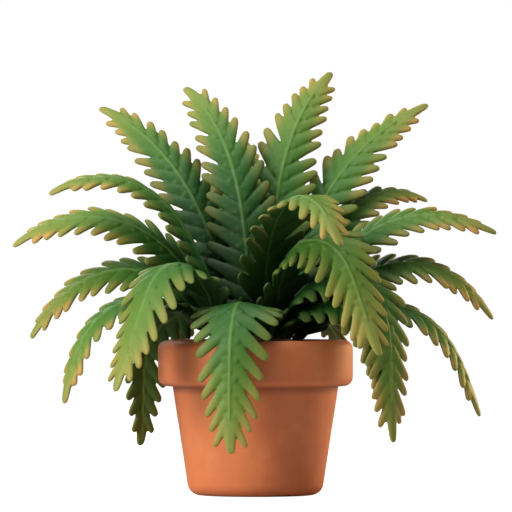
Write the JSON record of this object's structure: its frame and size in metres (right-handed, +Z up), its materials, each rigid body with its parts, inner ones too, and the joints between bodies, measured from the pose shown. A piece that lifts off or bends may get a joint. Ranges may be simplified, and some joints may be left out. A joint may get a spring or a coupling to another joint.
{
  "type": "potted fern",
  "caption": "Fern with lobed fronds arching out of a crown, in a round tapered clay pot with a broad rim, full of potting mix.",
  "frame": {"origin": "centre of the pot's base, on the plane it rests on", "axes": "+Z up along the pot's axis; the plant's front, where the lowest front frond hangs over the rim, faces -Y; +X is the right of that front"},
  "size_m": [0.4853, 0.2654, 0.4265],
  "materials": {
    "clay": "matte",
    "potting_mix": "matte",
    "rootstock": "matte",
    "leaf": "satin"
  },
  "bodies": {
    "root": {"pot": "clay", "potting_mix": "potting_mix", "crown": "rootstock", "frond_back_left_outer": "leaf", "frond_back_left_inner": "leaf", "frond_back_right_inner": "leaf", "frond_back_right_outer": "leaf", "frond_left_high": "leaf", "frond_left_upper": "leaf", "frond_left_lower": "leaf", "frond_left_low": "leaf", "frond_left_hanging": "leaf", "frond_left_behind": "leaf", "frond_front_left": "leaf", "frond_front_hanging": "leaf", "frond_front_right": "leaf", "frond_front_crest": "leaf", "frond_right_hanging": "leaf", "frond_right_hanging_behind": "leaf", "frond_right_low": "leaf", "frond_right_lower": "leaf", "frond_right_upper": "leaf", "frond_right_high": "leaf", "frond_rear_upright": "leaf", "frond_rear_left_upright": "leaf", "frond_rear_hanging": "leaf", "frond_rear_right": "leaf", "frond_rear_left": "leaf", "frond_rear_far_right": "leaf"}
  },
  "joints": []
}
